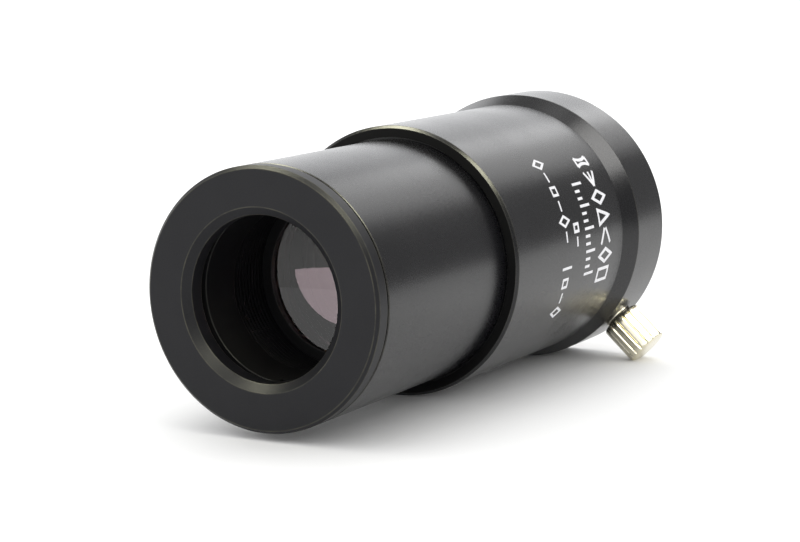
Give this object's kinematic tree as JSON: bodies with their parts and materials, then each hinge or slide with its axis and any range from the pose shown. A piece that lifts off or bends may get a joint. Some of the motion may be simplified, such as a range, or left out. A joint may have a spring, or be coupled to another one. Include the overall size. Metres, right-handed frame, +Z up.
{
  "type": "barlow lens",
  "caption": "Black tube with a narrower nose, a negative lens in a screw-out cell, and an eyepiece socket with a flared collar, clamped by a knurled thumbscrew.",
  "frame": {"origin": "on the optical axis, in the plane of the shoulder where the nose enters the body", "axes": "Y along the optical axis, the nose towards -Y and the eyepiece socket towards +Y; +Z up as it lies on its side; the thumbscrew on the +X side, below the horizontal"},
  "size_m": [0.0392, 0.0779, 0.038],
  "materials": {
    "black_anodised": "satin bead-blasted black anodise",
    "black_matte": "matte black anodise",
    "coated_glass": "polished, with an anti-reflection coating",
    "bare_brass": "turned brass",
    "tip_plastic": "matte",
    "plated_screw": "nickel plated, straight knurled"
  },
  "bodies": {
    "barrel": {"body": "black_anodised", "nose_barrel": "black_anodised", "compression_ring": "bare_brass"},
    "cell_glass": {"lens_front": "coated_glass", "lens_rear": "coated_glass"},
    "cell": {"front_ring": "black_anodised", "lens_cell": "black_anodised", "lock_ring": "black_matte", "spacer_tube": "black_matte"},
    "screw_point": {"screw_tip": "tip_plastic"},
    "thumbscrew": {"thumbscrew": "plated_screw"}
  },
  "joints": [
    {"name": "cell_travel", "type": "slide", "parent": "barrel", "child": "cell_glass", "axis": [0, -1, 0], "range_m": [0, 0.0042]},
    {"name": "cell_turn", "type": "hinge", "parent": "cell_glass", "child": "cell", "pos_m": [0, -0.0327, 0], "axis": [0, -1, 0], "range_deg": [0, 2520]},
    {"name": "thumbscrew_travel", "type": "slide", "parent": "barrel", "child": "screw_point", "axis": [0.7349, 0, -0.6782], "range_m": [-0.00014, 0.00105]},
    {"name": "thumbscrew_turn", "type": "hinge", "parent": "screw_point", "child": "thumbscrew", "pos_m": [0, 0.0407, 0], "axis": [0.7349, 0, -0.6782], "range_deg": [-70, 540]}
  ],
  "couplings": [
    {"joint": "cell_turn", "follows": "cell_travel", "rad_per_m": 10472},
    {"joint": "thumbscrew_turn", "follows": "thumbscrew_travel", "rad_per_m": 8976}
  ]
}
